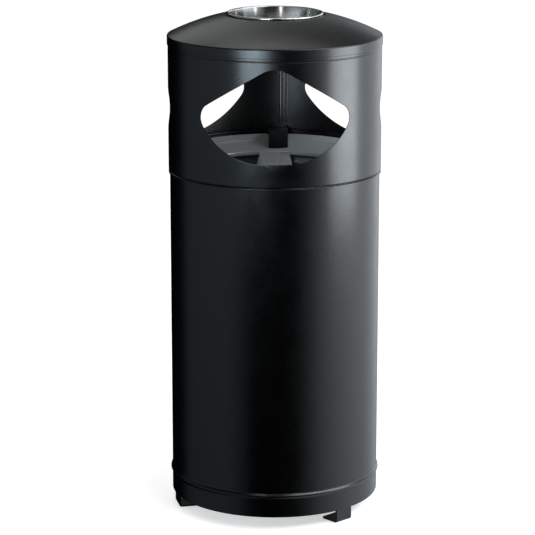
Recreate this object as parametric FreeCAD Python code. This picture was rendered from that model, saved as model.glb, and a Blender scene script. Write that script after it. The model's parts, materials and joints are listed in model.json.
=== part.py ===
import FreeCAD, Part
import math
import os

# Round outdoor litter bin in rolled sheet steel: a standing body on three strip feet, a
# removable inner liner with a funnel ring, and a lift-off head with three waste openings,
# a domed lid and a stainless ashtray. A key lock at the back holds the head down.
#
# Frame: millimetres, +Z up, origin on the ground under the bin's axis. The first waste
# opening faces -Y. An azimuth is measured round the axis from -Y towards +X.

V = FreeCAD.Vector

# Standing body
SHEET = 1.5             # shell sheet thickness
SHELL_R = 220.0         # outer radius of the rolled body
FOOT_GAP = 30.0         # ground to the shell's bottom edge
SHELL_TOP = 726.5
BEAD_Z = 76.0           # swaged bead round the foot of the shell
BEAD_HEIGHT = 14.0
BEAD_PROUD = 3.3

# Base plate, seated inside the bead
PLATE_TOP = 78.0
PLATE_T = 2.0
PLATE_FLANGE = 24.0
DRAIN_R = 6.0
DRAIN_CIRCLE_R = 90.0
DRAIN_COUNT = 6

# Feet: C-shaped strip brackets, evenly spaced
FOOT_AZIMUTHS = {"foot_right": 43.0, "foot_rear": 163.0, "foot_left": 283.0}
FOOT_WIDTH = 42.5
FOOT_T = 5.0
FOOT_OUTER = 214.5      # axis to the outer face of the web
FOOT_LOWER_REACH = 42.5
FOOT_UPPER_REACH = 50.0
FOOT_BEND_R = 6.0
ANCHOR_CIRCLE_R = 192.0
ANCHOR_HOLE_R = 5.5
FOOT_BOLT_CIRCLE_R = 180.0
M8_R = 4.0
M8_HOLE_R = 4.5
M8_ACROSS_FLATS = 13.0
M8_HEAD = 5.3
M8_NUT = 6.5
M8_THREAD_END = 12.0    # below the foot's upper flange
WASHER_BORE_R = 4.2
WASHER_R = 8.0
WASHER_T = 1.6

# Neck ring: the spigot inside the top of the shell that the head drops over
NECK_T = 2.0
NECK_BOTTOM = 665.0
NECK_TOP = 771.0
RIM_ROLL_R = 3.0

# Rests: welded angles on the neck ring that carry the liner
REST_AZIMUTHS = (0.0, 120.0, 240.0)
REST_WIDTH = 34.0
REST_LEDGE_T = 3.0
REST_LEG_T = 4.0
REST_LEG = 28.0
REST_GAP = 0.3

# Head
HEAD_R = 222.8
HEAD_BOTTOM = 722.5
HEAD_TOP = 1008.0
GROOVE_Z = 729.0        # inward groove that stands on the shell's top edge
GROOVE_DEPTH = 2.2
GROOVE_HALF = 2.2
CREASE_Z = 985.0        # shallow crease just under the lid's skirt
CREASE_DEPTH = 0.6
CREASE_HALF = 1.6

# Waste openings, as cut in the flat sheet before rolling
OPENING_AZIMUTHS = (0.0, 120.0, 240.0)
OPENING_BOTTOM = 777.4
OPENING_FLAT_HALF = 22.0
OPENING_SIDE_R = 170.0
OPENING_CORNER_R = 29.0
OPENING_HALF_WIDTH = 165.5
OPENING_SLOPE = math.radians(30.0)
OPENING_APEX_R = 53.0

# Lid
SKIRT_BOTTOM = 991.5
SKIRT_TOP = 1009.6
LID_EDGE_R = 2.2
LID_SEAT_R = 106.0      # the crown is flat inside this radius
LID_SEAT_Z = 1052.0
LID_MID = (166.0, 1037.6)
LID_HOLE_R = 97.2

# Ashtray
BOWL_T = 1.2
BOWL_R = 96.2           # outer radius at the rim, tapering down to the grid ledge
BOWL_LEDGE_R = 92.2
BOWL_LOWER_R = 86.2
BOWL_BOTTOM = 992.0
GRID_LEDGE_Z = 1018.0
BOWL_RIM_R = 98.0       # centre line of the rolled rim
BOWL_ROLL_R = 2.35
BOWL_TOP = 1057.0
WELL_BOTTOM = 984.0
GRID_R = 90.0
GRID_T = 2.0
GRID_LOW = 1018.3
GRID_HOLE_R = 4.0
GRID_RINGS = {26.0: 6, 43.0: 12, 60.0: 18, 77.0: 24}
KNOB_FOOT_R = 7.0
KNOB_NECK_R = 4.0
KNOB_HEAD_R = 9.0
KNOB_HEIGHT = 14.0
KNOB_SCREW_R = 3.0
KNOB_SCREW_HEAD_R = 6.0
KNOB_SCREW_HEAD = 2.4

# Liner
LINER_R = 200.0
LINER_T = 1.2
LINER_BOTTOM = 92.0
LINER_WALL_TOP = 754.8
LINER_FLOOR_FLANGE = 12.0
LINER_DRAIN_R = 4.0
LINER_DRAIN_COUNT = 4
FUNNEL_R = 210.0
FUNNEL_FLAT_R = 205.5
FUNNEL_TOP = 762.5
THROAT_R = 165.5
THROAT_TOP = 732.0
THROAT_LIP = 8.0

# Hand grips: leaning plates under the throat, as half widths and (Y, Z) edges
GRIP_TOP_HALF = 33.0
GRIP_FOOT_HALF = 41.0
GRIP_TOP = (160.4, 724.0)
GRIP_FOOT = (147.4, 692.0)
GRIP_HEM_R = 1.8
GRIP_HOLE_R = 3.0
GRIP_HOLE_FROM_EDGE = 9.0
GRIP_HOLE_FROM_FOOT = 7.0

# Guard on the liner that keeps rubbish off the striker and the lock
GUARD_X = (-13.0, 29.0)
GUARD_Y = (171.0, 203.0)
GUARD_TOP = 776.0
NOTCH_MARGIN = 3.0

# Lock at the back
LOCK_X = -10.0
LOCK_Z = 693.0
LOCK_HOLE_R = 9.3
LOCK_BODY_R = 9.0
LOCK_FLANGE_R = 12.0
LOCK_FLANGE_T = 2.5
LOCK_BORE_R = 5.0
LOCK_RUNNING_GAP = 0.08
LOCK_NUT_T = 5.0
LOCK_NUT_HALF = 12.0
KEY_RECESS_R = 6.8
KEY_RECESS_DEPTH = 6.0
KEY_POST_HALF = 2.3
KEY_POST = 6.0
CAM_Y = 205.5           # inner face of the cam and of the striker
CAM_T = 3.0
CAM_HALF = 7.0
CAM_REACH = 26.0
CAM_SCREW_HALF = 4.5
CAM_SCREW_HEAD = 3.0
STRIKER_LEG_T = 3.5
STRIKER_X = (2.0, 18.0, 26.0)   # tip of the ledge, inner edge and outer edge of the stem
STRIKER_LEDGE = (676.0, 684.0)

# Fold seams, a little to the right of centre at the back
SEAM_AZIMUTH = 174.9
SEAM_WIDTH = 18.0
SEAM_T = 1.0
SEAM_RIB_W = 3.2
SEAM_RIB_T = 1.0
SEAM_RIB_PITCH = 7.1


def outline(start, *steps):
    """Closed wire in the XZ plane. A step is a point, or a (through, end) pair for an arc."""
    edges = []
    here = V(start[0], 0, start[1])
    for step in steps + (start,):
        if isinstance(step[0], tuple):
            through, end = [V(point[0], 0, point[1]) for point in step]
            edges.append(Part.Arc(here, through, end).toShape())
        else:
            end = V(step[0], 0, step[1])
            if end.distanceToPoint(here) < 1e-6:
                continue
            edges.append(Part.makeLine(here, end))
        here = end
    return Part.Wire(edges)


def turned(start, *steps):
    """Solid of revolution about Z from an outline of (radius, height) points."""
    face = Part.Face(outline(start, *steps))
    return face.revolve(V(0, 0, 0), V(0, 0, 1), 360)


def ring(inner, outer, low, high):
    return turned((inner, low), (outer, low), (outer, high), (inner, high))


def roll(radius, height, wire_r):
    """Rolled edge: a round bead at a radius from the axis."""
    return Part.makeTorus(radius, wire_r, V(0, 0, height))


def block(x, y, z):
    """Box between three (low, high) pairs."""
    return Part.makeBox(x[1] - x[0], y[1] - y[0], z[1] - z[0], V(x[0], y[0], z[0]))


def upright(radius, low, high, x=0.0, y=0.0):
    return Part.makeCylinder(radius, high - low, V(x, y, low))


def rod(radius, low, high, x, z):
    """Round bar along Y."""
    return Part.makeCylinder(radius, high - low, V(x, low, z), V(0, 1, 0))


def prism(count, flat_radius, low, high):
    """Regular prism about Z with its flats at a radius."""
    corner = flat_radius / math.cos(math.pi / count)
    angles = [2 * math.pi * (i + 0.5) / count for i in range(count + 1)]
    points = [V(corner * math.cos(a), corner * math.sin(a), low) for a in angles]
    return Part.Face(Part.makePolygon(points)).extrude(V(0, 0, high - low))


def turn(shape, azimuth):
    """Copy of a shape, turned about Z from the front to an azimuth."""
    copy = shape.copy()
    copy.rotate(V(0, 0, 0), V(0, 0, 1), azimuth)
    return copy


def tip_to_y(shape, x, y, z):
    """Copy of a shape made about Z, laid with its axis along +Y and moved to a point."""
    copy = shape.copy()
    copy.rotate(V(0, 0, 0), V(1, 0, 0), -90)
    copy.translate(V(x, y, z))
    return copy


def around(shape, azimuths):
    return Part.makeCompound([turn(shape, azimuth) for azimuth in azimuths])


def make_lower_shell():
    outer, inner = SHELL_R, SHELL_R - SHEET
    low, high = BEAD_Z - BEAD_HEIGHT / 2, BEAD_Z + BEAD_HEIGHT / 2
    wall = turned(
        (inner, FOOT_GAP), (outer, FOOT_GAP), (outer, low),
        ((outer + BEAD_PROUD, BEAD_Z), (outer, high)),
        (outer, SHELL_TOP), (inner, SHELL_TOP), (inner, high - 0.5),
        ((inner + BEAD_PROUD, BEAD_Z), (inner, low + 0.5)))
    return wall.cut(rod(LOCK_HOLE_R, 0, SHELL_R + 5, LOCK_X, LOCK_Z))


def make_neck_ring():
    outer = SHELL_R - SHEET
    roll_r = outer - RIM_ROLL_R
    roll_z = NECK_TOP - RIM_ROLL_R
    wall = ring(outer - NECK_T, outer, NECK_BOTTOM, roll_z)
    neck = wall.fuse(roll(roll_r, roll_z, RIM_ROLL_R)).removeSplitter()
    return neck.cut(rod(LOCK_HOLE_R, 0, SHELL_R, LOCK_X, LOCK_Z))


def make_seam(face_r, low, high):
    """Folded seam standing inside a shell wall, with three fold lines along it."""
    step = math.degrees(1 / face_r)

    def band(width, thickness, centre):
        strip = turned((face_r - thickness, low), (face_r, low), (face_r, high),
                       (face_r - thickness, high))
        half = width / 2
        wedge = block((-half, half), (-face_r - 5, -face_r + 15), (low - 1, high + 1))
        return turn(strip.common(wedge), SEAM_AZIMUTH + centre * step)

    seam = band(SEAM_WIDTH, SEAM_T, 0)
    for centre in (-SEAM_RIB_PITCH, 0, SEAM_RIB_PITCH):
        seam = seam.fuse(band(SEAM_RIB_W, SEAM_T + SEAM_RIB_T, centre))
    return seam.removeSplitter()


def make_base_plate():
    outer = SHELL_R - SHEET
    low = PLATE_TOP - PLATE_FLANGE
    plate = turned((0, PLATE_TOP - PLATE_T), (outer - PLATE_T, PLATE_TOP - PLATE_T),
                   (outer - PLATE_T, low), (outer, low), (outer, PLATE_TOP), (0, PLATE_TOP))
    drain = upright(DRAIN_R, low, PLATE_TOP + 1, y=-DRAIN_CIRCLE_R)
    for i in range(DRAIN_COUNT):
        plate = plate.cut(turn(drain, 360 * i / DRAIN_COUNT))
    bolt = upright(M8_HOLE_R, low, PLATE_TOP + 1, y=-FOOT_BOLT_CIRCLE_R)
    for azimuth in FOOT_AZIMUTHS.values():
        plate = plate.cut(turn(bolt, azimuth))
    return plate


def make_foot():
    """C-shaped bracket at the front: web at the outside, both flanges pointing inwards."""
    top = PLATE_TOP - PLATE_T
    half = FOOT_WIDTH / 2
    outer = -FOOT_OUTER
    solid = block((-half, half), (outer, outer + FOOT_UPPER_REACH), (0, top))
    hollow = block((-half - 1, half + 1), (outer + FOOT_T, outer + FOOT_UPPER_REACH + 1),
                   (FOOT_T, top - FOOT_T))
    trim = block((-half - 1, half + 1), (outer + FOOT_LOWER_REACH, outer + FOOT_UPPER_REACH + 1),
                 (-1, FOOT_T + 1))
    foot = solid.cut(hollow).cut(trim)
    bends = [edge for edge in foot.Edges
             if abs(edge.CenterOfMass.y - outer) < 0.01 and abs(edge.CenterOfMass.x) < 0.01]
    foot = foot.makeFillet(FOOT_BEND_R, bends)
    foot = foot.cut(upright(ANCHOR_HOLE_R, -1, FOOT_T + 1, y=-ANCHOR_CIRCLE_R))
    return foot.cut(upright(M8_HOLE_R, top - FOOT_T - 1, top + 1, y=-FOOT_BOLT_CIRCLE_R))


def make_foot_bolt():
    """M8 bolt at the front, head above the base plate."""
    washer_top = PLATE_TOP + WASHER_T
    head = prism(6, M8_ACROSS_FLATS / 2, washer_top, washer_top + M8_HEAD)
    shank = upright(M8_R, PLATE_TOP - PLATE_T - FOOT_T - M8_THREAD_END, washer_top)
    bolt = head.fuse(shank)
    bolt.translate(V(0, -FOOT_BOLT_CIRCLE_R, 0))
    return bolt


def make_foot_washer():
    washer = ring(WASHER_BORE_R, WASHER_R, PLATE_TOP, PLATE_TOP + WASHER_T)
    washer.translate(V(0, -FOOT_BOLT_CIRCLE_R, 0))
    return washer


def make_foot_nut():
    top = PLATE_TOP - PLATE_T - FOOT_T
    nut = prism(6, M8_ACROSS_FLATS / 2, top - M8_NUT, top)
    nut = nut.cut(upright(M8_R, top - M8_NUT - 1, top + 1))
    nut.translate(V(0, -FOOT_BOLT_CIRCLE_R, 0))
    return nut


def make_liner_rest():
    """Welded angle at the front of the neck ring; the liner's rim hangs on its ledge."""
    wall = SHELL_R - SHEET - NECK_T
    top = FUNNEL_TOP - SHEET - REST_GAP
    half = REST_WIDTH / 2
    ledge = block((-half, half), (-wall, -FUNNEL_FLAT_R - 1), (top - REST_LEDGE_T, top))
    leg = block((-half, half), (-wall, -wall + REST_LEG_T), (top - REST_LEG, top))
    return ledge.fuse(leg).common(upright(wall, 0, BOWL_TOP)).removeSplitter()


def make_lock_body():
    """Barrel with a flange shaped to the shell, and a recess round the key post."""
    face = SHELL_R + LOCK_FLANGE_T
    barrel = rod(LOCK_BODY_R, CAM_Y + CAM_T + 0.5, SHELL_R + LOCK_FLANGE_T / 2, LOCK_X, LOCK_Z)
    flange = rod(LOCK_FLANGE_R, SHELL_R - LOCK_FLANGE_T, face, LOCK_X, LOCK_Z)
    flange = flange.cut(upright(SHELL_R, 0, BOWL_TOP))
    body = barrel.fuse(flange).removeSplitter()
    body = body.cut(rod(LOCK_BORE_R, CAM_Y, face, LOCK_X, LOCK_Z))
    return body.cut(rod(KEY_RECESS_R, SHELL_R - KEY_RECESS_DEPTH, face, LOCK_X, LOCK_Z))


def make_lock_nut():
    nut = prism(6, LOCK_NUT_HALF, 0, LOCK_NUT_T).cut(upright(LOCK_BODY_R + 0.1, -1, LOCK_NUT_T + 1))
    return tip_to_y(nut, LOCK_X, SHELL_R - 2 * LOCK_NUT_T, LOCK_Z)


def make_lock_spindle():
    """Round spindle with a triangular key post at its outer end."""
    root = SHELL_R - KEY_RECESS_DEPTH + 1
    shaft = rod(LOCK_BORE_R - LOCK_RUNNING_GAP, CAM_Y + CAM_T, root, LOCK_X, LOCK_Z)
    post = tip_to_y(prism(3, KEY_POST_HALF, 0, KEY_POST), LOCK_X, root, LOCK_Z)
    return shaft.fuse(post)


def make_lock_cam():
    """Flat cam, pointing up when the lock is open."""
    arm = block((-CAM_HALF, CAM_HALF), (0, CAM_T), (0, CAM_REACH - CAM_HALF))
    arm.translate(V(LOCK_X, CAM_Y, LOCK_Z))
    cam = arm.fuse(rod(CAM_HALF, CAM_Y, CAM_Y + CAM_T, LOCK_X, LOCK_Z))
    tip_z = LOCK_Z + CAM_REACH - CAM_HALF
    return cam.fuse(rod(CAM_HALF, CAM_Y, CAM_Y + CAM_T, LOCK_X, tip_z)).removeSplitter()


def make_lock_screw():
    head = prism(6, CAM_SCREW_HALF, 0, CAM_SCREW_HEAD)
    return tip_to_y(head, LOCK_X, CAM_Y - CAM_SCREW_HEAD, LOCK_Z)


def make_striker():
    """Hook hanging from the head's wall; the cam turns over its ledge."""
    tip, stem, outer = STRIKER_X
    low = GUARD_TOP + 0.5
    top = low + STRIKER_LEG_T
    y = (CAM_Y, CAM_Y + CAM_T)
    leg = block((tip + STRIKER_LEG_T, outer), (CAM_Y, HEAD_R), (low, top))
    leg = leg.common(upright(HEAD_R - SHEET, 0, BOWL_TOP))
    hook = block((stem, outer), y, (STRIKER_LEDGE[0], top)).fuse(leg)
    return hook.fuse(block((tip, outer), y, STRIKER_LEDGE)).removeSplitter()


def arc_points(centre, radius, start, end, count=9):
    """Points round an arc, by angle in degrees."""
    angles = [math.radians(start + (end - start) * i / (count - 1)) for i in range(count)]
    return [(centre[0] + radius * math.cos(a), centre[1] + radius * math.sin(a)) for a in angles]


def opening_half():
    """Right half of the flat opening, from the bottom to the apex, as smooth stretches."""
    side = (OPENING_FLAT_HALF, OPENING_BOTTOM + OPENING_SIDE_R)
    reach = OPENING_SIDE_R - OPENING_CORNER_R
    across = OPENING_HALF_WIDTH - OPENING_CORNER_R - side[0]
    corner = (side[0] + across, side[1] - math.sqrt(reach ** 2 - across ** 2))
    join = math.degrees(math.atan2(corner[1] - side[1], across))
    normal = 90 - math.degrees(OPENING_SLOPE)
    rise = corner[0] * math.sin(OPENING_SLOPE) + OPENING_CORNER_R - OPENING_APEX_R
    apex = (0.0, corner[1] + rise / math.cos(OPENING_SLOPE))
    lower = arc_points(side, OPENING_SIDE_R, -90, join)
    turn_in = arc_points(corner, OPENING_CORNER_R, join, normal)
    crown = arc_points(apex, OPENING_APEX_R, normal, 90)
    first, last = turn_in[-1], crown[0]
    count = 8
    run, climb = last[0] - first[0], last[1] - first[1]
    slope = [(first[0] + run * i / count, first[1] + climb * i / count) for i in range(count + 1)]
    return [lower, turn_in, slope, crown]


def make_opening_cutter():
    """Prism along Y that cuts the front opening out of the rolled wall."""
    y = -HEAD_R / 2

    def wrapped(points, sign):
        return [V(sign * HEAD_R * math.sin(s / HEAD_R), y, z) for s, z in points]

    edges = []
    for stretch in opening_half():
        for sign in (1, -1):
            curve = Part.BSplineCurve()
            curve.interpolate(wrapped(stretch, sign))
            edges.append(curve.toShape())
    flat = (OPENING_FLAT_HALF, OPENING_BOTTOM)
    edges.append(Part.makeLine(wrapped([flat], 1)[0], wrapped([flat], -1)[0]))
    wire = Part.Wire(Part.__sortEdges__(edges))
    return Part.Face(wire).extrude(V(0, -HEAD_R, 0))


def make_head_shell():
    outer, inner = HEAD_R, HEAD_R - SHEET

    def swage(r, z, depth, half):
        """Three points of an inward fold: where it starts, its bottom and its end."""
        return (r, z - half), (r - depth, z), (r, z + half)

    g_start, g_mid, g_end = swage(outer, GROOVE_Z, GROOVE_DEPTH, GROOVE_HALF)
    c_start, c_mid, c_end = swage(outer, CREASE_Z, CREASE_DEPTH, CREASE_HALF)
    inner_start, inner_mid, inner_end = swage(inner, GROOVE_Z, GROOVE_DEPTH, GROOVE_HALF)
    d_start, d_mid, d_end = swage(inner, CREASE_Z, CREASE_DEPTH, CREASE_HALF)
    head = turned(
        (inner, HEAD_BOTTOM), (outer, HEAD_BOTTOM), g_start, (g_mid, g_end),
        c_start, (c_mid, c_end), (outer, HEAD_TOP), (inner, HEAD_TOP),
        d_end, (d_mid, d_start), inner_end, (inner_mid, inner_start))
    cutter = make_opening_cutter()
    for azimuth in OPENING_AZIMUTHS:
        head = head.cut(turn(cutter, azimuth))
    return head


def make_lid():
    outer = HEAD_R + SHEET
    t = SHEET
    knee = LID_EDGE_R * (1 - math.sqrt(0.5))
    edge = (outer - LID_EDGE_R, SKIRT_TOP + LID_EDGE_R)
    return turned(
        (HEAD_R, SKIRT_BOTTOM), (outer, SKIRT_BOTTOM), (outer, SKIRT_TOP),
        ((outer - knee, SKIRT_TOP + LID_EDGE_R - knee), edge),
        (LID_MID, (LID_SEAT_R, LID_SEAT_Z)),
        (LID_HOLE_R, LID_SEAT_Z), (LID_HOLE_R, LID_SEAT_Z - t),
        (LID_SEAT_R - 0.2, LID_SEAT_Z - t),
        ((LID_MID[0] - 0.6, LID_MID[1] - t), (HEAD_R - 1.0, HEAD_TOP + 1.2)),
        (HEAD_R, HEAD_TOP))


def make_ashtray_well():
    """Sleeve welded under the lid, round the bowl."""
    return ring(LID_HOLE_R, LID_HOLE_R + SHEET, WELL_BOTTOM, LID_SEAT_Z - SHEET)


def make_ashtray_bowl():
    inner, lower_inner = BOWL_R - BOWL_T, BOWL_LOWER_R - BOWL_T
    rim_z = BOWL_TOP - BOWL_ROLL_R
    wall = turned(
        (0, BOWL_BOTTOM), (BOWL_LOWER_R, BOWL_BOTTOM), (BOWL_LOWER_R, GRID_LEDGE_Z - BOWL_T),
        (BOWL_LEDGE_R, GRID_LEDGE_Z - BOWL_T), (BOWL_R, rim_z), (inner, rim_z),
        (BOWL_LEDGE_R - BOWL_T, GRID_LEDGE_Z), (lower_inner, GRID_LEDGE_Z),
        (lower_inner, BOWL_BOTTOM + BOWL_T), (0, BOWL_BOTTOM + BOWL_T))
    return wall.fuse(roll(BOWL_RIM_R, rim_z, BOWL_ROLL_R)).removeSplitter()


def make_ash_grid():
    grid = upright(GRID_R, GRID_LOW, GRID_LOW + GRID_T)
    holes = [upright(KNOB_SCREW_R + 0.2, GRID_LOW - 1, GRID_LOW + GRID_T + 1)]
    for radius, count in GRID_RINGS.items():
        hole = upright(GRID_HOLE_R, GRID_LOW - 1, GRID_LOW + GRID_T + 1, y=-radius)
        holes += [turn(hole, 360 * i / count) for i in range(count)]
    return grid.cut(holes)


def make_grid_knob():
    """Turned knob: a foot, a waisted neck and a mushroom head."""
    low = GRID_LOW + GRID_T
    top = low + KNOB_HEIGHT
    half = low + KNOB_HEIGHT / 2
    brim = top - 3
    return turned(
        (0, low), (KNOB_FOOT_R, low), (KNOB_FOOT_R, low + 1.5), (KNOB_NECK_R, low + 3),
        (KNOB_NECK_R, half), ((KNOB_HEAD_R - 1.4, half + 1.2), (KNOB_HEAD_R, brim)),
        ((KNOB_HEAD_R - 0.9, brim + 2), (KNOB_FOOT_R - 1, top)), (0, top))


def make_knob_screw():
    head = upright(KNOB_SCREW_HEAD_R, GRID_LOW - KNOB_SCREW_HEAD, GRID_LOW)
    return head.fuse(upright(KNOB_SCREW_R, GRID_LOW, GRID_LOW + GRID_T))


def make_lock_guard():
    """Box on the funnel's slope, open at the back and below, in front of the striker."""
    whole = block(GUARD_X, GUARD_Y, (THROAT_TOP, GUARD_TOP))
    hollow = block((GUARD_X[0] + SHEET, GUARD_X[1] - SHEET), (GUARD_Y[0] + SHEET, GUARD_Y[1] + 1),
                   (THROAT_TOP - 1, GUARD_TOP - SHEET))
    below = turned((0, 0), (FUNNEL_R, 0), (FUNNEL_R, FUNNEL_TOP), (FUNNEL_FLAT_R, FUNNEL_TOP),
                   (THROAT_R, THROAT_TOP), (0, THROAT_TOP))
    return whole.cut(hollow).cut(below)


def make_funnel_ring():
    """Sloping collar with a turned-down lip, notched at the back for the striker."""
    lip_bottom = THROAT_TOP - THROAT_LIP
    t = SHEET
    slope = math.atan2(FUNNEL_TOP - THROAT_TOP, FUNNEL_FLAT_R - THROAT_R)
    drop = t / math.cos(slope)
    outer_lip = THROAT_R + t
    under_lip = THROAT_TOP + t * math.tan(slope) - drop
    under_flat = FUNNEL_FLAT_R + (drop - t) / math.tan(slope)
    funnel = turned(
        (THROAT_R, lip_bottom), (outer_lip, lip_bottom), (outer_lip, under_lip),
        (under_flat, FUNNEL_TOP - t), (FUNNEL_R, FUNNEL_TOP - t), (FUNNEL_R, FUNNEL_TOP),
        (FUNNEL_FLAT_R, FUNNEL_TOP), (THROAT_R, THROAT_TOP))
    notch = block((GUARD_X[0] - NOTCH_MARGIN, GUARD_X[1] + NOTCH_MARGIN),
                  (GUARD_Y[1] + 0.5, FUNNEL_R + 1), (THROAT_TOP, FUNNEL_TOP + 1))
    return funnel.cut(notch)


def make_liner_wall():
    return ring(LINER_R - LINER_T, LINER_R, LINER_BOTTOM - 2, LINER_WALL_TOP)


def make_liner_floor():
    outer = LINER_R - LINER_T
    inner = outer - LINER_T
    top = LINER_BOTTOM + LINER_FLOOR_FLANGE
    floor = turned((0, LINER_BOTTOM), (outer, LINER_BOTTOM), (outer, top), (inner, top),
                   (inner, LINER_BOTTOM + LINER_T), (0, LINER_BOTTOM + LINER_T))
    drain = upright(LINER_DRAIN_R, LINER_BOTTOM - 1, LINER_BOTTOM + 2, y=-DRAIN_CIRCLE_R)
    count = LINER_DRAIN_COUNT
    return floor.cut([turn(drain, 360 * i / count) for i in range(count)])


def make_grip():
    """Hand plate at the back, hanging from the funnel's lip and leaning inwards."""
    top_y, top_z = GRIP_TOP
    foot_y, foot_z = GRIP_FOOT
    points = [V(-GRIP_TOP_HALF, top_y, top_z), V(GRIP_TOP_HALF, top_y, top_z),
              V(GRIP_FOOT_HALF, foot_y, foot_z), V(-GRIP_FOOT_HALF, foot_y, foot_z)]
    face = Part.Face(Part.makePolygon(points + points[:1]))
    lean = V(0, top_z - foot_z, foot_y - top_y).normalize()
    plate = face.extrude(lean * SHEET)
    tab = block((-GRIP_TOP_HALF, GRIP_TOP_HALF), (top_y, top_y + SHEET),
                (top_z - 0.8, THROAT_TOP - 1))
    hem = Part.makeCylinder(GRIP_HEM_R, 2 * GRIP_FOOT_HALF,
                            V(-GRIP_FOOT_HALF, foot_y + SHEET / 2, foot_z), V(1, 0, 0))
    hole = rod(GRIP_HOLE_R, 0, top_y + 5, GRIP_HOLE_FROM_EDGE - GRIP_FOOT_HALF,
               foot_z + GRIP_HOLE_FROM_FOOT)
    return plate.fuse([tab, hem]).removeSplitter().cut(hole)


def make_parts():
    anchors = FOOT_AZIMUTHS.values()
    inside = SHELL_R - SHEET
    grip = make_grip()
    parts = {
        "lower_shell": make_lower_shell(),
        "shell_seam": make_seam(inside, PLATE_TOP + 8, NECK_BOTTOM - 2),
        "neck_ring": make_neck_ring(),
        "base_plate": make_base_plate(),
        "foot_bolts": around(make_foot_bolt(), anchors),
        "foot_washers": around(make_foot_washer(), anchors),
        "foot_nuts": around(make_foot_nut(), anchors),
        "liner_rests": around(make_liner_rest(), REST_AZIMUTHS),
        "lock_body": make_lock_body(),
        "lock_nut": make_lock_nut(),
        "lock_spindle": make_lock_spindle(),
        "lock_cam": make_lock_cam(),
        "lock_screw": make_lock_screw(),
        "head_shell": make_head_shell(),
        "head_seam": make_seam(HEAD_R - SHEET, GUARD_TOP + 7, CREASE_Z - 3),
        "lid": make_lid(),
        "ashtray_well": make_ashtray_well(),
        "striker": make_striker(),
        "ashtray_bowl": make_ashtray_bowl(),
        "ash_grid": make_ash_grid(),
        "grid_knob": make_grid_knob(),
        "knob_screw": make_knob_screw(),
        "funnel_ring": make_funnel_ring(),
        "lock_guard": make_lock_guard(),
        "liner_wall": make_liner_wall(),
        "liner_floor": make_liner_floor(),
        "grip_rear": grip,
        "grip_front": turn(grip, 180),
    }
    foot = make_foot()
    for name, azimuth in FOOT_AZIMUTHS.items():
        parts[name] = turn(foot, azimuth)
    return parts


os.makedirs("parts", exist_ok=True)
for name, shape in make_parts().items():
    print(name, len(shape.Solids), shape.isValid(), round(shape.Volume))
    shape.exportStep("parts/" + name + ".step")
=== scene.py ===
import json
import math

import bmesh
import bpy
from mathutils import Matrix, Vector, geometry


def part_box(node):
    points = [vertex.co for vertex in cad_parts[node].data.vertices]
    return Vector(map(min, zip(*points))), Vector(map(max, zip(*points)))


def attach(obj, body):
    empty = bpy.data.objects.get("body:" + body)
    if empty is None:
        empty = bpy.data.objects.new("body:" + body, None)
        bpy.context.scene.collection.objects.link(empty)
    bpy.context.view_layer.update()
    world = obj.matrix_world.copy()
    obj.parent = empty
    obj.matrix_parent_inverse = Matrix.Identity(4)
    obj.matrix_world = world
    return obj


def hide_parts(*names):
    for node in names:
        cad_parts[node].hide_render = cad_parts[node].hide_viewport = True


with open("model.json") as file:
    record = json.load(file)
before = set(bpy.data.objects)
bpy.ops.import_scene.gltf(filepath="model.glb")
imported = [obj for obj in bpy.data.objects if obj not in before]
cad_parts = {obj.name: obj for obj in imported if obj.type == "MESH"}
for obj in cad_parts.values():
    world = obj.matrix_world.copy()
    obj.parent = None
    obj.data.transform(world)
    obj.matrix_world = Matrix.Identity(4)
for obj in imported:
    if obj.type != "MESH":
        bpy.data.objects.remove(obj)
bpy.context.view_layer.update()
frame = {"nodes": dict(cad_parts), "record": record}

# A round litter bin: black powder-coated sheet steel, a stainless ashtray in the lid, a
# galvanised liner with a grey funnel ring. Metres, +Z up, the front opening faces -Y.
# An azimuth is an angle round the axis from -Y towards +X.

COLUMNS = 288               # facets round a turned piece
SHARP = math.radians(25)    # faces that meet at more than this keep a crisp edge
HOLE_GUARD = 0.0009         # narrow band of faces round each hole, for a crisp bevel
EDGE_BEND = math.radians(40)    # edges that turn more than this are bevelled
SHEET = 0.0015

# Shell features, by height
BEAD_Z = 0.076
BEAD_HALF = 0.0070
BEAD_PROUD = 0.0033
GROOVE_Z = 0.729
GROOVE_HALF = 0.0026
GROOVE_DEPTH = 0.0022
CREASE_Z = 0.985
CREASE_HALF = 0.0022
CREASE_DEPTH = 0.0004
SEAM_AZIMUTH = math.radians(174.9)
SEAM_HALF = 0.0009      # half width of the fine line the fold leaves outside
SEAM_DEPTH = 0.0005
FOLD_WIDTH = 0.018      # folded strip inside, with three round ribs
FOLD_T = 0.001
FOLD_RIB_HALF = 0.0019
FOLD_RIB_T = 0.001
FOLD_PITCH = 0.0071

# Waste openings, in the flat sheet
OPENING_AZIMUTHS = (0, 120, 240)
OPENING_BOTTOM = 0.7774
OPENING_FLAT_HALF = 0.022
OPENING_SIDE_R = 0.170
OPENING_CORNER_R = 0.029
OPENING_HALF_WIDTH = 0.1655
OPENING_SLOPE = math.radians(30)
OPENING_APEX_R = 0.053

# Lid, as heights above its skirt's lower edge and radii
SKIRT_STRAIGHT = 0.0168
LID_CORNER_R = 0.0030
CROWN_FOOT = 0.0206
CROWN_BULGE_R = 0.494   # radius of the arc from the skirt to the flat seat
SEAT_R = 0.106
LID_HOLE_R = 0.0979

# Ashtray bowl, outer radii, and its grid
BOWL_R = 0.0962
BOWL_LEDGE_R = 0.0922
BOWL_LOWER_R = 0.0862
BOWL_LEDGE_Z = 1.018
BOWL_T = 0.0012
GRID_RINGS = ((0.026, 6), (0.043, 12), (0.060, 18), (0.077, 24))
GRID_HOLE_R = 0.004
KNOB_HOLE_R = 0.003

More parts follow.
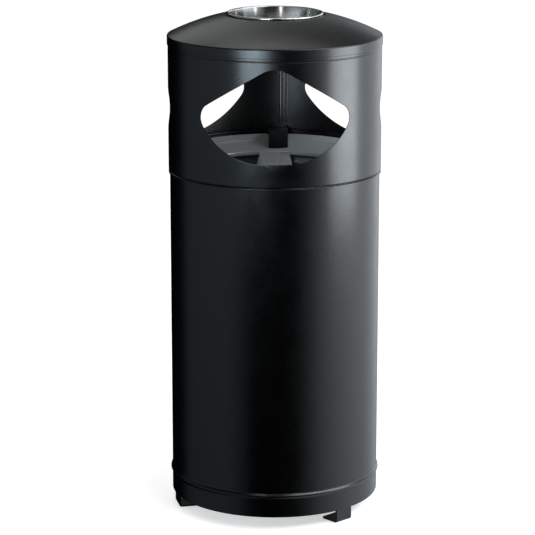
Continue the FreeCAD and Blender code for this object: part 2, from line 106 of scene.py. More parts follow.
# Neck ring, funnel ring and liner
NECK_T = 0.002
NECK_ROLL_R = 0.003
THROAT_R = 0.1655
THROAT_TOP = 0.732
FUNNEL_FLAT_R = 0.2055
FUNNEL_RIB = ((0.1905, 0), (0.193, 0.0011), (0.1955, 0))    # radius and rise over the slope
NOTCH_GAP = 0.003
LINER_T = 0.0012
LINER_SWAGES = (0.125, 0.145, 0.70, 0.72)
LINER_SWAGE_HALF = 0.007
LINER_SWAGE_DEPTH = 0.0025

# Camera, a long lens a little above the lid
CAMERA_DISTANCE = 4.958
CAMERA_HEIGHT = 1.7228
CAMERA_SIDE = -0.0152
CAMERA_DOWN = 0.2395
CAMERA_LENS = 161.8

# Studio as the reflections see it: brightness by azimuth in degrees, on the walls and above
COOL = (0.92, 0.99, 1.05)
TEAL = (0.80, 0.98, 1.10)
PLAIN = (0.96, 1.0, 0.99)
BRIGHTEST = 3.2         # brightness that a full ramp stands for
STUDIO_WALLS = (
    ({-122: 0.0, -108: 0.26, -70: 0.42, -52: 0.48, -38: 0.30, -26: 0.0}, TEAL),
    ({26: 0.0, 38: 0.35, 56: 1.15, 78: 1.8, 98: 2.0, 125: 1.6, 152: 1.5, 166: 0.7}, COOL),
)
STUDIO_ABOVE = (
    ({-180: 0.34, -170: 0.70, -163: 0.85, -150: 0.5, -130: 0.1, -60: 0.06, 0: 0.06,
      40: 0.3, 110: 0.4, 150: 0.15, 164: 0.20, 180: 0.34}, PLAIN),
)
ABOVE_FROM = 0.23       # height of the direction where the walls begin to give way
ABOVE_FULL = 0.35
LOW_DIM = 0.45          # share of the walls' brightness left where they are lowest
LOW_FROM = -0.38        # height of the direction where that dimming is full
LOW_FULL = -0.18
AMBIENT = 0.6           # white that lights matt surfaces
BACKDROP = 1.1          # white that the camera sees


# ---------------------------------------------------------------- shader helpers

class Shader:
    """A material with one Principled BSDF and a few node helpers."""

    def __init__(self, name, **sockets):
        self.material = bpy.data.materials.new(name)
        self.material.use_nodes = True
        self.tree = self.material.node_tree
        self.bsdf = self.tree.nodes["Principled BSDF"]
        for socket, value in sockets.items():
            self.bsdf.inputs[socket.replace("_", " ")].default_value = value
        self.position = self.node("TexCoord").outputs["Object"]

    def node(self, kind, **settings):
        made = self.tree.nodes.new("ShaderNode" + kind)
        for key, value in settings.items():
            setattr(made, key, value)
        return made

    def link(self, source, target):
        self.tree.links.new(source, target)

    def math(self, operation, first, second=None):
        made = self.node("Math", operation=operation)
        for value, socket in zip((first, second), made.inputs):
            if value is None:
                continue
            if isinstance(value, (int, float)):
                socket.default_value = value
            else:
                self.link(value, socket)
        return made.outputs[0]

    def noise(self, scale, detail=2.0, roughness=0.5, vector=None):
        made = self.node("TexNoise")
        made.inputs["Scale"].default_value = scale
        made.inputs["Detail"].default_value = detail
        made.inputs["Roughness"].default_value = roughness
        self.link(vector or self.position, made.inputs["Vector"])
        return made.outputs["Fac"]

    def spread(self, value, low, high):
        """A 0 to 1 texture value, stretched from low to high."""
        made = self.node("MapRange")
        made.inputs["From Min"].default_value = 0.3
        made.inputs["From Max"].default_value = 0.7
        made.inputs["To Min"].default_value = low
        made.inputs["To Max"].default_value = high
        self.link(value, made.inputs["Value"])
        return made.outputs["Result"]

    def tint(self, value, dark, light):
        """Base colour between two colours, by a texture value."""
        made = self.node("Mix", data_type="RGBA")
        made.inputs[6].default_value = (*dark, 1)
        made.inputs[7].default_value = (*light, 1)
        self.link(value, made.inputs[0])
        self.link(made.outputs[2], self.bsdf.inputs["Base Color"])

    def rough(self, value, low, high):
        self.link(self.spread(value, low, high), self.bsdf.inputs["Roughness"])

    def bump(self, height, distance, strength=1.0):
        made = self.node("Bump")
        made.inputs["Distance"].default_value = distance
        made.inputs["Strength"].default_value = strength
        self.link(height, made.inputs["Height"])
        self.link(made.outputs["Normal"], self.bsdf.inputs["Normal"])

    def turned(self, across, along):
        """Coordinates that stretch a texture into rings round the axis."""
        parts = self.node("SeparateXYZ")
        self.link(self.position, parts.inputs[0])
        x, y, z = parts.outputs
        angle = self.math("ARCTAN2", y, x)
        radius = self.math("SQRT", self.math("ADD", self.math("MULTIPLY", x, x),
                                             self.math("MULTIPLY", y, y)))
        joined = self.node("CombineXYZ")
        self.link(self.math("MULTIPLY", angle, along), joined.inputs[0])
        self.link(self.math("MULTIPLY", radius, across), joined.inputs[1])
        self.link(self.math("MULTIPLY", z, across), joined.inputs[2])
        return joined.outputs[0]


# ---------------------------------------------------------------- materials

def powder_coat(name, dark, light, roughness):
    """Satin polyester powder coat: fine orange peel, slightly uneven gloss."""
    coat = Shader(name, IOR=1.5, Roughness=roughness)
    peel = coat.noise(900, 3, 0.6)
    cloud = coat.noise(7, 4, 0.6)
    coat.tint(cloud, dark, light)
    coat.rough(coat.noise(26, 3, 0.6), roughness - 0.025, roughness + 0.025)
    coat.bump(peel, 0.00004, 0.35)
    return coat.material


def galvanised():
    """Zinc spangle: flat crystals of slightly different brightness."""
    zinc = Shader("galvanised", Metallic=0.9)
    crystals = zinc.node("TexVoronoi", feature="F1")
    crystals.inputs["Scale"].default_value = 70
    warp = zinc.node("VectorMath", operation="ADD")
    zinc.link(zinc.position, warp.inputs[0])
    zinc.link(zinc.noise(40, 2), warp.inputs[1])
    zinc.link(warp.outputs[0], crystals.inputs["Vector"])
    shade = zinc.node("SeparateColor")
    zinc.link(crystals.outputs["Color"], shade.inputs[0])
    zinc.tint(shade.outputs[0], (0.36, 0.38, 0.38), (0.52, 0.54, 0.54))
    zinc.rough(shade.outputs[1], 0.36, 0.50)
    zinc.bump(zinc.noise(300, 3), 0.00005, 0.3)
    return zinc.material


def turned_metal(name, dark, light, low, high, metallic=1.0, grain=0.3):
    """Metal with a fine grain running round the axis."""
    metal = Shader(name, Metallic=metallic)
    rings = metal.noise(1, 4, 0.65, metal.turned(2600, 1.4))
    cloud = metal.noise(1, 3, 0.5, metal.turned(45, 2.0))
    metal.tint(cloud, dark, light)
    metal.rough(rings, low, high)
    metal.bump(rings, 0.00002, grain)
    return metal.material


def plated(name, dark, light, roughness):
    """Plated fastener metal, slightly uneven."""
    metal = Shader(name, Metallic=1.0)
    metal.tint(metal.noise(160, 3), dark, light)
    metal.rough(metal.noise(420, 3), roughness - 0.06, roughness + 0.08)
    metal.bump(metal.noise(1500, 2), 0.00002, 0.3)
    return metal.material


MATERIALS = {
    "black_coat": powder_coat("black_coat", (0.0001, 0.0001, 0.0002),
                              (0.0003, 0.0004, 0.0004), 0.28),
    "black_bracket": powder_coat("black_bracket", (0.0003, 0.0003, 0.0004),
                                 (0.0006, 0.0007, 0.0008), 0.31),
    "grey_steel": turned_metal("grey_steel", (0.50, 0.53, 0.53), (0.60, 0.63, 0.63),
                               0.30, 0.44, metallic=0.55),
    "galvanised": galvanised(),
    "stainless": turned_metal("stainless", (0.46, 0.46, 0.455), (0.58, 0.58, 0.575),
                              0.12, 0.22, grain=0.12),
    "zinc_fastener": plated("zinc_fastener", (0.48, 0.48, 0.46), (0.62, 0.62, 0.60), 0.34),
    "lock_metal": plated("lock_metal", (0.50, 0.49, 0.47), (0.60, 0.59, 0.57), 0.22),
}
NODE_SLOT = {row["node"]: row["material_slot"] for row in frame["record"]["subparts"]}
NODE_BODY = {node: body for body, nodes in frame["record"]["behaviour"]["bodies"].items()
             for node in nodes}


# ---------------------------------------------------------------- mesh helpers

def finished(name, vertices, faces, node):
    """Piece that takes a CAD node's place, body and finish."""
    mesh = bpy.data.meshes.new(name)
    mesh.from_pydata([tuple(v) for v in vertices], [], faces)
    mesh.validate()
    clean = bmesh.new()
    clean.from_mesh(mesh)
    bmesh.ops.remove_doubles(clean, verts=clean.verts, dist=1e-6)
    bmesh.ops.recalc_face_normals(clean, faces=clean.faces)
    clean.to_mesh(mesh)
    clean.free()
    return placed(name, mesh, node)


def placed(name, mesh, node):
    """Object made of a mesh, in a CAD node's place."""
    mesh.shade_smooth()
    mesh.set_sharp_from_angle(angle=SHARP)
    piece = bpy.data.objects.new(name, mesh)
    bpy.context.scene.collection.objects.link(piece)
    mesh.materials.clear()
    mesh.materials.append(MATERIALS[NODE_SLOT[node]])
    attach(piece, NODE_BODY[node])
    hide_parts(node)
    return piece


def bake_modifiers(piece):
    """Applies a piece's modifiers to its mesh."""
    graph = bpy.context.evaluated_depsgraph_get()
    mesh = bpy.data.meshes.new_from_object(piece.evaluated_get(graph))
    piece.modifiers.clear()
    piece.data = mesh
    mesh.shade_smooth()
    mesh.set_sharp_from_angle(angle=SHARP)


def bevel(piece, width):
    """Softens a piece's sharp edges."""
    made = piece.modifiers.new("bevel", "BEVEL")
    made.width = width
    made.segments = 2
    made.limit_method = "ANGLE"
    made.angle_limit = EDGE_BEND
    bake_modifiers(piece)


def bent(path, steps=6):
    """Smooth line through (radius, height, bend radius) points, each bend a tangent arc."""
    points = [Vector(p[:2]) for p in path]
    line = [points[0]]
    for i in range(1, len(path) - 1):
        before = (points[i - 1] - points[i]).normalized()
        after = (points[i + 1] - points[i]).normalized()
        half = before.angle(after) / 2
        reach = path[i][2] / math.tan(half)
        centre = points[i] + (before + after).normalized() * (path[i][2] / math.sin(half))
        start = points[i] + before * reach - centre
        turn = start.angle_signed(points[i] + after * reach - centre)
        for k in range(steps + 1):
            angle = -turn * k / steps
            spun = Vector((start.x * math.cos(angle) - start.y * math.sin(angle),
                           start.x * math.sin(angle) + start.y * math.cos(angle)))
            line.append(centre + spun)
    line.append(points[-1])
    return line


def even(line, longest=0.02, guard=0.0004):
    """The line with its long runs divided, and a short run kept beside each bend."""
    out = [line[0]]
    for a, b in zip(line, line[1:]):
        length = (b - a).length
        if length > 4 * guard:
            count = max(1, math.ceil((length - 2 * guard) / longest))
            inner = [guard + (length - 2 * guard) * k / count for k in range(count + 1)]
            out += [a.lerp(b, distance / length) for distance in inner]
        out.append(b)
    return out


def thick(line, thickness, cap=4):
    """Closed outline of a sheet of even thickness whose middle follows the line."""
    sides = ([], [])
    for i, point in enumerate(line):
        along = (line[min(i + 1, len(line) - 1)] - line[max(i - 1, 0)]).normalized()
        normal = Vector((-along.y, along.x)) * thickness / 2
        sides[0].append(point + normal)
        sides[1].append(point - normal)

    def end(centre, start):
        """Half round between the two sides."""
        arm = start - centre
        out = []
        for k in range(1, cap):
            angle = -math.pi * k / cap
            out.append(centre + Vector((arm.x * math.cos(angle) - arm.y * math.sin(angle),
                                        arm.x * math.sin(angle) + arm.y * math.cos(angle))))
        return out

    return (sides[0] + end(line[-1], sides[0][-1]) + sides[1][::-1]
            + end(line[0], sides[1][0]))


def lathe(name, outline, node, closed=True):
    """Turned piece from a (radius, height) outline. An open outline starts and ends on the axis."""
    vertices, rings, faces = [], [], []
    for radius, height in outline:
        if radius < 1e-6:
            rings.append([len(vertices)] * COLUMNS)
            vertices.append((0, 0, height))
            continue
        rings.append(range(len(vertices), len(vertices) + COLUMNS))
        for k in range(COLUMNS):
            angle = 2 * math.pi * k / COLUMNS
            vertices.append((radius * math.cos(angle), radius * math.sin(angle), height))
    pairs = list(zip(rings, rings[1:]))
    if closed:
        pairs.append((rings[-1], rings[0]))
    for lower, upper in pairs:
        for k in range(COLUMNS):
            j = (k + 1) % COLUMNS
            corners = [lower[k], lower[j], upper[j], upper[k]]
            face = list(dict.fromkeys(corners))
            if len(face) > 2:
                faces.append(face)
    return finished(name, vertices, faces, node)


def swell(z, centre, half, size):
    """Smooth swage: size at the centre height, nothing beyond half."""
    distance = abs(z - centre)
    return size * 0.5 * (1 + math.cos(math.pi * distance / half)) if distance < half else 0.0


def inside(point, polygon):
    """Whether a flat point is inside a polygon."""
    hit = False
    for (x1, y1), (x2, y2) in zip(polygon, polygon[1:] + polygon[:1]):
        if (y1 > point[1]) != (y2 > point[1]):
            if point[0] < x1 + (point[1] - y1) / (y2 - y1) * (x2 - x1):
                hit = not hit
    return hit


def near(point, polygon, gap):
    """Whether a flat point is closer than the gap to one of a polygon's corners."""
    return any((point[0] - x) ** 2 + (point[1] - y) ** 2 < gap * gap for x, y in polygon)


def around(polygon, gap):
    """Points a small gap outside each corner of an anticlockwise polygon."""
    points = []
    for i, (x, y) in enumerate(polygon):
        before, after = polygon[i - 1], polygon[(i + 1) % len(polygon)]
        along = Vector((after[0] - before[0], after[1] - before[1])).normalized()
        points.append((x + along.y * gap, y - along.x * gap))
    return points


def flat_mesh(border, fill, holes, gap):
    """Triangles over a flat region: a border loop, points that fill it, and holes."""
    loops = [border] + holes
    boxes = [(min(x for x, _ in h) - gap, max(x for x, _ in h) + gap,
              min(y for _, y in h) - gap, max(y for _, y in h) + gap) for h in holes]

    def free(point):
        for hole, (x0, x1, y0, y1) in zip(holes, boxes):
            if x0 < point[0] < x1 and y0 < point[1] < y1:
                if inside(point, hole) or near(point, hole, gap):
                    return False
        return True

    points, edges = [], []
    for loop in loops:
        first = len(points)
        points += loop
        edges += [(first + k, first + (k + 1) % len(loop)) for k in range(len(loop))]
    points += [p for p in fill if free(p)]
    points += [p for hole in holes for p in around(hole, HOLE_GUARD)]
    made = geometry.delaunay_2d_cdt([Vector(p) for p in points], edges, [], 0, 1e-7)
    vertices, triangles = [tuple(v) for v in made[0]], []
    for face in made[2]:
        middle = (sum(vertices[i][0] for i in face) / 3, sum(vertices[i][1] for i in face) / 3)
        if inside(middle, border) and not any(inside(middle, hole) for hole in holes):
            triangles.append(list(face))
    return vertices, triangles


def solid_sheet(vertices, triangles, front, back):
    """Two skins over a flat mesh, joined round every edge. front and back place a flat point."""
    count = len(vertices)
    placed_points = [front(v) for v in vertices] + [back(v) for v in vertices]
    faces = [list(t) for t in triangles]
    faces += [[i + count for i in reversed(t)] for t in triangles]
    used = dict.fromkeys((a, b) for t in triangles for a, b in zip(t, t[1:] + t[:1]))
    for a, b in used:
        if (b, a) not in used:
            faces.append([b, a, a + count, b + count])
    return placed_points, faces


def rolled(name, node, radius_at, rows, holes, spacing=0.008):
    """Sheet rolled into a cylinder, its seam at the back. radius_at gives the outer radius."""
    base = radius_at(rows[len(rows) // 2])
    girth = 2 * math.pi * base
    seam = [0.0, SEAM_HALF / 2, SEAM_HALF, SEAM_HALF * 2]
    count = round(girth / spacing)
    step = (girth - 2 * seam[-1]) / count
    columns = seam[:-1] + [seam[-1] + step * k for k in range(count + 1)]
    columns += [girth - s for s in reversed(seam[:-1])]
    border = ([(u, rows[0]) for u in columns] + [(girth, z) for z in rows[1:-1]]
              + [(u, rows[-1]) for u in reversed(columns)]
              + [(0.0, z) for z in reversed(rows[1:-1])])
    fill = [(u, z) for u in columns[1:-1] for z in rows[1:-1]]
    vertices, triangles = flat_mesh(border, fill, holes, spacing * 0.4)

    def skin(inset):
        def place(point):
            u, z = point
            from_seam = min(u, girth - u)
            dip = swell(from_seam, 0, SEAM_HALF, SEAM_DEPTH) if inset == 0 else 0
            radius = radius_at(z) - dip - inset
            angle = SEAM_AZIMUTH + u / base
            return (radius * math.sin(angle), -radius * math.cos(angle), z)
        return place

    points, faces = solid_sheet(vertices, triangles, skin(0), skin(SHEET))
    return finished(name, points, faces, node)


def arc(centre, radius, start, end, step=0.003):
    """Points round an arc, by angle."""
    count = max(2, math.ceil(abs(end - start) * radius / step))
    angles = [start + (end - start) * k / count for k in range(count + 1)]
    return [(centre[0] + radius * math.cos(a), centre[1] + radius * math.sin(a)) for a in angles]


def opening_outline():
    """Waste opening in the flat sheet, about its own centre line."""
    side = (OPENING_FLAT_HALF, OPENING_BOTTOM + OPENING_SIDE_R)
    reach = OPENING_SIDE_R - OPENING_CORNER_R
    across = OPENING_HALF_WIDTH - OPENING_CORNER_R - side[0]
    corner = (side[0] + across, side[1] - math.sqrt(reach ** 2 - across ** 2))
    join = math.atan2(corner[1] - side[1], across)
    normal = math.pi / 2 - OPENING_SLOPE
    rise = corner[0] * math.sin(OPENING_SLOPE) + OPENING_CORNER_R - OPENING_APEX_R
    apex = (0.0, corner[1] + rise / math.cos(OPENING_SLOPE))
    half = arc(side, OPENING_SIDE_R, -math.pi / 2, join)
    half += arc(corner, OPENING_CORNER_R, join, normal)[1:]
    crown = arc(apex, OPENING_APEX_R, normal, math.pi / 2)
    first, last = half[-1], crown[0]
    count = 30
    half += [(first[0] + (last[0] - first[0]) * k / count,
              first[1] + (last[1] - first[1]) * k / count) for k in range(1, count)]
    half += crown[:-1]
    top = [crown[-1]]
    return half + top + [(-s, z) for s, z in reversed(half)]


def spaced(low, high, step):
    """Even values from low to high, about a step apart."""
    count = max(1, round((high - low) / step))
    return [low + (high - low) * k / count for k in range(count + 1)]


def rows_between(low, high, swages, step=0.01):
    """Heights for a rolled sheet: close together at its edges and through each swage."""
    rows = [low, low + 0.0006]
    here = rows[-1]
    for centre, half in swages:
        rows += spaced(here, centre - half * 1.15, step)[1:]
        rows += spaced(centre - half * 1.15, centre + half * 1.15, half / 7)[1:]
        here = rows[-1]
    rows += spaced(here, high - 0.0006, step)[1:]
    return rows + [high]


# ---------------------------------------------------------------- turned and rolled pieces

def make_body_skin():
    low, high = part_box("lower_shell")
    radius = high.x - BEAD_PROUD
    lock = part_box("lock_body")
    hole_x, hole_z = (lock[0].x + lock[1].x) / 2, (lock[0].z + lock[1].z) / 2
    azimuth = math.pi - math.asin(hole_x / radius)
    centre = radius * ((azimuth - SEAM_AZIMUTH) % (2 * math.pi))
    hole = arc((centre, hole_z), 0.009, 0, 2 * math.pi, 0.002)[:-1]
    rows = rows_between(low.z, high.z, [(BEAD_Z, BEAD_HALF)])
    piece = rolled("body_skin", "lower_shell",
                   lambda z: radius + swell(z, BEAD_Z, BEAD_HALF, BEAD_PROUD), rows, [hole])
    bevel(piece, 0.0003)


def make_head_skin():
    low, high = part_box("head_shell")
    radius = high.x

    def radius_at(z):
        return (radius - swell(z, GROOVE_Z, GROOVE_HALF, GROOVE_DEPTH)
                - swell(z, CREASE_Z, CREASE_HALF, CREASE_DEPTH))

    outline = opening_outline()
    holes = []
    for degrees in OPENING_AZIMUTHS:
        turn = (math.radians(degrees) - SEAM_AZIMUTH) % (2 * math.pi)
        holes.append([(radius * turn + s, z) for s, z in outline])
    rows = rows_between(low.z, high.z, [(GROOVE_Z, GROOVE_HALF), (CREASE_Z, CREASE_HALF)])
    piece = rolled("head_skin", "head_shell", radius_at, rows, holes)
    bevel(piece, 0.00035)


def make_lid_skin():
    low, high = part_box("lid")
    half = SHEET / 2
    outer = high.x - half
    seat_z = high.z - half
    corner_r, corner_z = outer - LID_CORNER_R, low.z + SKIRT_STRAIGHT
    crown = dome_line(corner_r, low.z + CROWN_FOOT - half, SEAT_R, seat_z, CROWN_BULGE_R)
    line = [Vector((outer, low.z + half)), Vector((outer, corner_z))]
    line += arc_vectors(corner_r, corner_z, LID_CORNER_R, crown[0])
    line += crown
    line.append(Vector((LID_HOLE_R, seat_z)))
    lathe("lid_skin", thick(even(line, 0.012), SHEET), "lid")


def arc_vectors(cx, cz, radius, towards):
    """Small rounding from the skirt to the crown."""
    last = math.atan2(towards.y - cz, towards.x - cx)
    return [Vector((cx + radius * math.cos(last * k / 6), cz + radius * math.sin(last * k / 6)))
            for k in range(1, 6)]


def dome_line(start_r, start_z, end_r, end_z, radius):
    """Arc of a large radius, bulging up, from the skirt to the flat seat."""
    a, b = Vector((start_r, start_z)), Vector((end_r, end_z))
    middle, chord = (a + b) / 2, b - a
    drop = math.sqrt(radius ** 2 - (chord.length / 2) ** 2)
    normal = Vector((chord.y, -chord.x)).normalized()
    centre = middle - normal * drop if normal.y > 0 else middle + normal * drop
    first, last = (math.atan2(p.y - centre.y, p.x - centre.x) for p in (a, b))
    return [centre + Vector((math.cos(t), math.sin(t))) * radius
            for t in (first + (last - first) * k / 28 for k in range(29))]


def make_neck_skin():
    low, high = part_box("neck_ring")
    wall = high.x - NECK_T / 2
    centre = Vector((high.x - NECK_ROLL_R, high.z - NECK_ROLL_R))
    line = [Vector((wall, low.z)), Vector((wall, centre.y))]
    curl = NECK_ROLL_R - NECK_T / 2
    line += [centre + Vector((math.cos(t), math.sin(t))) * curl
             for t in (math.radians(20 * k) for k in range(1, 15))]
    lathe("neck_skin", thick(even(line), NECK_T), "neck_ring")


def make_bowl_skin():
    low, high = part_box("ashtray_bowl")
    half = BOWL_T / 2
    wall, ledge_wall, lower = (r - half for r in (BOWL_R, BOWL_LEDGE_R, BOWL_LOWER_R))
    ledge = BOWL_LEDGE_Z - half
    curl = (high.x - half - wall) / 2
    centre = Vector((high.x - curl - half, high.z - curl - half))
    path = [(0.0, low.z + half, 0), (lower, low.z + half, 0.004), (lower, ledge, 0.0022),
            (ledge_wall, ledge, 0.0022), (wall, centre.y, 0)]
    line = bent(path)
    line += [centre + Vector((-math.cos(t), math.sin(t))) * curl
             for t in (math.radians(16 * k) for k in range(1, 17))]
    outline = thick(even(line, 0.012), BOWL_T)
    keep = [p for p in outline if p.x > 1e-5]
    top = Vector((0.0, low.z + BOWL_T))
    bottom = Vector((0.0, low.z))
    start = min(range(len(keep)), key=lambda i: (round(keep[i].x, 4), -keep[i].y))
    ordered = keep[start:] + keep[:start]
    lathe("bowl_skin", [top] + ordered + [bottom], "ashtray_bowl", closed=False)


def make_funnel_skin():
    low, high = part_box("funnel_ring")
    half = SHEET / 2
    outer, throat = high.x - half, THROAT_R + half
    top = high.z - half
    slope = (top - THROAT_TOP + half) / (FUNNEL_FLAT_R - throat)
    rib = [(r, top - slope * (FUNNEL_FLAT_R - r) + rise, 0.002) for r, rise in FUNNEL_RIB]
    path = [(throat, low.z + half, 0), (throat, THROAT_TOP - half, 0.003), *rib,
            (FUNNEL_FLAT_R, top, 0.003), (outer - 0.0022, top, 0.0016), (outer, top - 0.0035, 0)]
    piece = lathe("funnel_skin", thick(even(bent(path), 0.008), SHEET), "funnel_ring")
    cut_notch(piece)


def cut_notch(piece):
    """Notch at the back of the funnel, behind the lock guard. The cutter reaches well past
    the ring outside, below and above."""
    guard_low, guard_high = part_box("lock_guard")
    low = Vector((guard_low.x - NOTCH_GAP, guard_high.y + 0.0005, 0.70))
    high = Vector((guard_high.x + NOTCH_GAP, 0.23, 0.80))
    mesh = bpy.data.meshes.new("notch")
    made = bmesh.new()
    bmesh.ops.create_cube(made, size=1)
    for vertex in made.verts:
        vertex.co = Vector([low[i] if vertex.co[i] < 0 else high[i] for i in range(3)])
    made.to_mesh(mesh)
    made.free()
    cutter = bpy.data.objects.new("notch", mesh)
    bpy.context.scene.collection.objects.link(cutter)
    cut = piece.modifiers.new("notch", "BOOLEAN")
    cut.operation = "DIFFERENCE"
    cut.solver = "MANIFOLD"
    cut.object = cutter
    bake_modifiers(piece)
    bpy.data.objects.remove(cutter)


def make_liner_skin():
    low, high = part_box("liner_wall")
    wall = high.x - LINER_T / 2
    line = [Vector((wall, low.z))]
    for z in spaced(low.z + 0.004, high.z - 0.004, 0.0015):
        dent = sum(swell(z, centre, LINER_SWAGE_HALF, LINER_SWAGE_DEPTH)
                   for centre in LINER_SWAGES)
        line.append(Vector((wall - dent, z)))
    line.append(Vector((wall, high.z)))
    lathe("liner_skin", thick(line, LINER_T), "liner_wall")


def make_fold(node, name, shell_r):
    """Folded seam strip inside a shell of a given radius, drawn round its section from one
    end to the other."""
    low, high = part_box(node)
    face_r = shell_r - SHEET
    across = spaced(-FOLD_WIDTH / 2, FOLD_WIDTH / 2, 0.0003)
    section = [(s, face_r) for s in across[::6] + [across[-1]]]
    for s in reversed(across):
        rib = sum(swell(s, centre, FOLD_RIB_HALF, FOLD_RIB_T)
                  for centre in (-FOLD_PITCH, 0, FOLD_PITCH))
        section.append((s, face_r - FOLD_T - rib))
    heights = spaced(low.z, high.z, 0.02)
    vertices, faces, count = [], [], len(section)
    for z in heights:
        for s, radius in section:
            angle = SEAM_AZIMUTH + s / face_r
            vertices.append((radius * math.sin(angle), -radius * math.cos(angle), z))
    for level in range(len(heights) - 1):
        for k in range(count):
            j = (k + 1) % count
            a, b = level * count, (level + 1) * count
            faces.append([a + k, a + j, b + j, b + k])
    faces.append(list(range(count)))
    faces.append(list(range(len(vertices) - count, len(vertices))))
    finished(name, vertices, faces, node)


def make_grid_skin():
    low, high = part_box("ash_grid")
    edge = high.x
    border = arc((0, 0), edge, 0, 2 * math.pi, 0.004)[:-1]
    holes = [arc((0, 0), KNOB_HOLE_R, 0, 2 * math.pi, 0.001)[:-1]]
    for radius, count in GRID_RINGS:
        for k in range(count):
            angle = 2 * math.pi * k / count - math.pi / 2
            centre = (radius * math.cos(angle), radius * math.sin(angle))
            holes.append(arc(centre, GRID_HOLE_R, 0, 2 * math.pi, 0.0013)[:-1])
    fill = [(x, y) for x in spaced(-edge, edge, 0.006) for y in spaced(-edge, edge, 0.006)
            if math.hypot(x, y) < edge - 0.003]
    vertices, triangles = flat_mesh(border, fill, holes, 0.002)
    points, faces = solid_sheet(vertices, triangles, lambda p: (p[0], p[1], high.z),
                                lambda p: (p[0], p[1], low.z))
    bevel(finished("grid_skin", points, faces, "ash_grid"), 0.0003)


# ---------------------------------------------------------------- refined CAD pieces

def refine(node, width):
    """Copy of a CAD node with merged facets and softened edges."""
    made = bmesh.new()
    made.from_mesh(frame["nodes"][node].data)
    bmesh.ops.remove_doubles(made, verts=made.verts, dist=1e-6)
    bmesh.ops.dissolve_limit(made, angle_limit=math.radians(0.6), verts=made.verts,
                             edges=made.edges)
    mesh = bpy.data.meshes.new(node + "_fine")
    made.to_mesh(mesh)
    made.free()
    piece = placed(node + "_fine", mesh, node)
    if width:
        bevel(piece, width)


# Bevel width of each refined node
REFINED = {
    "foot_right": 0.0006, "foot_left": 0.0006, "foot_rear": 0.0006,
    "foot_bolts": 0.0003, "foot_washers": 0.0002, "foot_nuts": 0.0003,
    "base_plate": 0.0004, "liner_rests": 0.0004, "lock_guard": 0.0004,
    "striker": 0.0004, "grip_rear": 0.0003, "grip_front": 0.0003,
    "lock_body": 0.0003, "lock_nut": 0.0003, "lock_spindle": 0.0002, "lock_cam": 0.0003,
    "lock_screw": 0.0003, "liner_floor": 0.0002, "ashtray_well": 0.0003,
    "grid_knob": 0.0, "knob_screw": 0.0003,
}


# ---------------------------------------------------------------- camera, floor and light

def make_camera():
    data = bpy.data.cameras.new("camera")
    data.lens = CAMERA_LENS
    data.sensor_width = 36
    camera = bpy.data.objects.new("camera", data)
    camera.location = (CAMERA_SIDE, -CAMERA_DISTANCE, CAMERA_HEIGHT)
    camera.rotation_euler = (math.pi / 2 - CAMERA_DOWN, 0, 0)
    bpy.context.scene.collection.objects.link(camera)
    bpy.context.scene.camera = camera


def make_floor():
    size = 60.0
    mesh = bpy.data.meshes.new("floor")
    mesh.from_pydata([(-size, -size, 0), (size, -size, 0), (size, size, 0), (-size, size, 0)],
                     [], [(0, 1, 2, 3)])
    floor = bpy.data.objects.new("floor", mesh)
    bpy.context.scene.collection.objects.link(floor)
    pale = Shader("pale_floor", Base_Color=(0.9, 0.9, 0.9, 1), Roughness=1.0,
                  Emission_Color=(1, 1, 1, 1), Emission_Strength=0.5)
    mesh.materials.append(pale.material)
    floor.visible_glossy = False


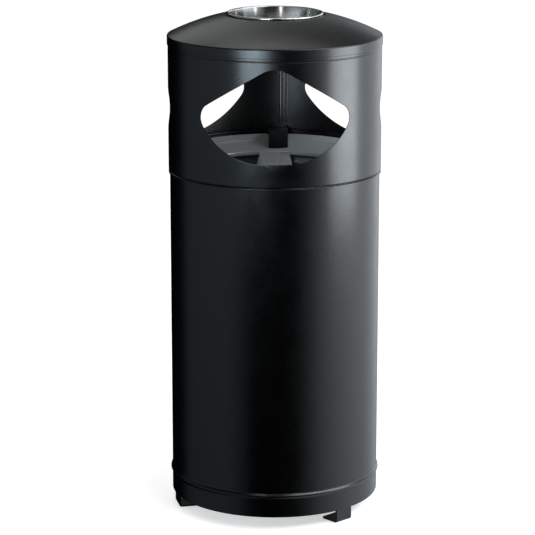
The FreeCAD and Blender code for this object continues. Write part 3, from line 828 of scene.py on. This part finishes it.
def make_world():
    """White surroundings. Reflections see a studio instead: a broad pale wall to the right, a
    dim one to the left, darkness in front and behind, and a dim space above."""
    world = bpy.data.worlds.new("studio")
    world.use_nodes = True
    world.cycles.sampling_method = "NONE"
    tree = world.node_tree
    background = tree.nodes["Background"]

    def node(kind, **settings):
        made = tree.nodes.new("ShaderNode" + kind)
        for key, value in settings.items():
            setattr(made, key, value)
        return made

    link = tree.links.new
    parts = node("SeparateXYZ")
    link(node("TexCoord").outputs["Generated"], parts.inputs[0])
    back = node("Math", operation="MULTIPLY")
    link(parts.outputs[1], back.inputs[0])
    back.inputs[1].default_value = -1
    azimuth = node("Math", operation="ARCTAN2")
    link(parts.outputs[0], azimuth.inputs[0])
    link(back.outputs[0], azimuth.inputs[1])
    turn = node("Math", operation="MULTIPLY_ADD")
    link(azimuth.outputs[0], turn.inputs[0])
    turn.inputs[1].default_value = 0.5 / math.pi
    turn.inputs[2].default_value = 0.5

    def by_azimuth(lobes):
        ramp = node("ValToRGB")
        ramp.color_ramp.interpolation = "EASE"
        stops = ramp.color_ramp.elements
        for stop, position in zip(stops, (0.0, 1.0)):
            stop.position, stop.color = position, (0, 0, 0, 1)
        for lobe, tint in lobes:
            for degrees, level in lobe.items():
                colour = [level / BRIGHTEST * channel for channel in tint] + [1]
                position = degrees / 360 + 0.5
                stop = {0.0: stops[0], 1.0: stops[-1]}.get(position) or stops.new(position)
                stop.color = colour
        link(turn.outputs[0], ramp.inputs[0])
        return ramp.outputs[0]

    def by_height(low, high, first, last):
        made = node("MapRange", interpolation_type="SMOOTHSTEP")
        for socket, value in zip(made.inputs[1:5], (low, high, first, last)):
            socket.default_value = value
        link(parts.outputs[2], made.inputs[0])
        return made.outputs[0]

    def scaled(colour, factor):
        made = node("VectorMath", operation="SCALE")
        link(colour, made.inputs[0])
        if isinstance(factor, float):
            made.inputs["Scale"].default_value = factor
        else:
            link(factor, made.inputs["Scale"])
        return made.outputs[0]

    def mixed(factor, first, last):
        made = node("Mix", data_type="RGBA")
        link(factor, made.inputs[0])
        for socket, value in zip(made.inputs[6:8], (first, last)):
            if isinstance(value, tuple):
                socket.default_value = value
            else:
                link(value, socket)
        return made.outputs[2]

    walls = scaled(by_azimuth(STUDIO_WALLS), by_height(LOW_FROM, LOW_FULL, LOW_DIM, 1.0))
    above = by_azimuth(STUDIO_ABOVE)
    studio = scaled(mixed(by_height(ABOVE_FROM, ABOVE_FULL, 0.0, 1.0), walls, above), BRIGHTEST)
    path = node("LightPath")
    unseen = mixed(path.outputs["Is Camera Ray"], (*[AMBIENT] * 3, 1), (*[BACKDROP] * 3, 1))
    link(mixed(path.outputs["Is Glossy Ray"], unseen, studio), background.inputs["Color"])
    bpy.context.scene.world = world


def softbox(name, place, aim, size, radiance, tint=(1, 1, 1), spread=180):
    """Area light of a given radiance, facing a point."""
    data = bpy.data.lights.new(name, "AREA")
    data.shape = "RECTANGLE"
    data.size, data.size_y = size
    data.energy = radiance * math.pi * size[0] * size[1]
    data.color = tint
    data.spread = math.radians(spread)
    light = bpy.data.objects.new(name, data)
    light.location = place
    light.rotation_euler = (Vector(aim) - Vector(place)).to_track_quat("-Z", "Y").to_euler()
    light.visible_camera = False
    bpy.context.scene.collection.objects.link(light)


def make_lights():
    softbox("key_right", (1.20, -0.36, 0.74), (0.15, -0.16, 0.78), (0.75, 0.56), 2.8, COOL, 110)
    softbox("front_left", (-0.50, -1.3, 0.90), (-0.05, -0.2, 0.92), (0.62, 0.30), 2.0, TEAL, 70)
    softbox("top", (0, 0.1, 2.6), (0, 0, 1), (1.6, 1.6), 1.0)
    softbox("strip_right", (3.0, -1.9, 3.5), (0, 0, 0.2), (5.5, 0.6), 12.0, COOL)
    softbox("slit_left", (-0.46, -1.6, 1.5), (0, 0, 1.05), (0.10, 0.8), 7.0)
    softbox("slit_right", (1.3, -1.02, 1.5), (0, 0, 1.05), (0.07, 0.8), 7.0)


make_camera()
make_floor()
make_world()
make_lights()

make_body_skin()
make_head_skin()
make_lid_skin()
make_neck_skin()
make_bowl_skin()
make_grid_skin()
make_funnel_skin()
make_liner_skin()
make_fold("shell_seam", "shell_fold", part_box("lower_shell")[1].x - BEAD_PROUD)
make_fold("head_seam", "head_fold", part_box("head_shell")[1].x)
for node_name, edge_width in REFINED.items():
    refine(node_name, edge_width)

bpy.context.scene.view_settings.view_transform = "Standard"
